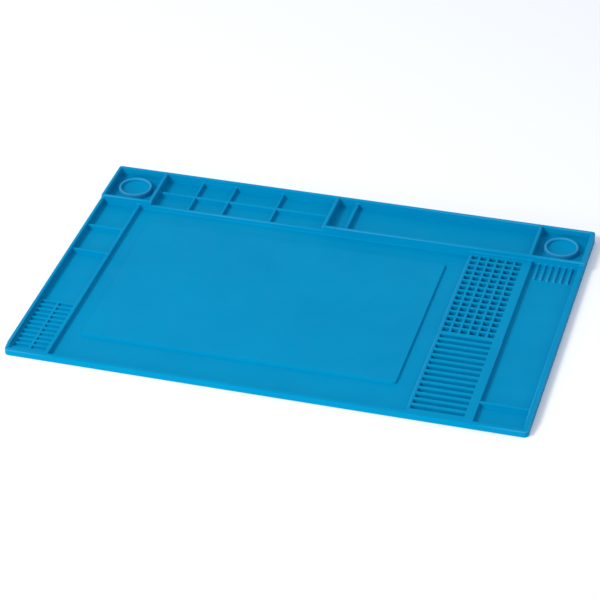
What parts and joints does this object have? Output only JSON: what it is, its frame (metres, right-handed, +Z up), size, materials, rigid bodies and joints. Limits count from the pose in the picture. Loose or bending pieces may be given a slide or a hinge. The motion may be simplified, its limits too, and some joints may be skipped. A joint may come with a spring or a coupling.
{
  "type": "parts sorting work mat",
  "caption": "Flexible silicone work mat with compartments, ring cups, slotted racks and tool trays for sorting small parts.",
  "frame": {"origin": "centre of the flat underside of the mat, on the surface it lies on", "axes": "+X along the long side to the user's right, +Y from the front rim to the deep rear band, +Z up"},
  "size_m": [0.45, 0.3, 0.01],
  "materials": {
    "silicone": "matt blue moulded silicone with a soft sheen"
  },
  "bodies": {
    "root": {"base_sheet": "silicone", "work_pad": "silicone", "front_rim": "silicone", "left_rim": "silicone", "right_rim": "silicone", "rear_wall": "silicone", "left_end_wall": "silicone", "right_end_wall": "silicone", "left_bay_front_wall": "silicone", "compartment_front_wall": "silicone", "tool_tray_front_wall": "silicone", "left_bay_side_wall": "silicone", "compartment_end_wall": "silicone", "right_bay_side_wall": "silicone", "narrow_tray_divider": "silicone", "compartment_divider_1": "silicone", "compartment_divider_2": "silicone", "compartment_divider_3": "silicone", "compartment_mid_wall_1": "silicone", "compartment_mid_wall_2": "silicone", "compartment_mid_wall_3": "silicone", "compartment_mid_wall_4": "silicone", "left_ring_cup": "silicone", "right_ring_cup": "silicone", "left_column_wall": "silicone", "left_column_divider_1": "silicone", "left_column_divider_2": "silicone", "screw_slot_rack": "silicone", "square_hole_row_1": "silicone", "square_hole_row_2": "silicone", "square_hole_row_3": "silicone", "square_hole_row_4": "silicone", "square_hole_row_5": "silicone", "square_hole_row_6": "silicone", "square_hole_row_7": "silicone", "square_hole_row_8": "silicone", "square_hole_row_9": "silicone", "square_hole_row_10": "silicone", "square_hole_row_11": "silicone", "square_hole_row_12": "silicone", "square_hole_row_13": "silicone", "square_hole_row_14": "silicone", "square_hole_row_15": "silicone", "square_hole_end_bar": "silicone", "long_slot_rack_1": "silicone", "long_slot_rack_2": "silicone", "right_column_wall": "silicone", "tweezer_rib_1": "silicone", "tweezer_rib_2": "silicone", "tweezer_rib_3": "silicone", "tweezer_rib_4": "silicone", "tweezer_rib_5": "silicone", "tweezer_rib_6": "silicone", "front_tray_divider": "silicone"}
  },
  "joints": []
}
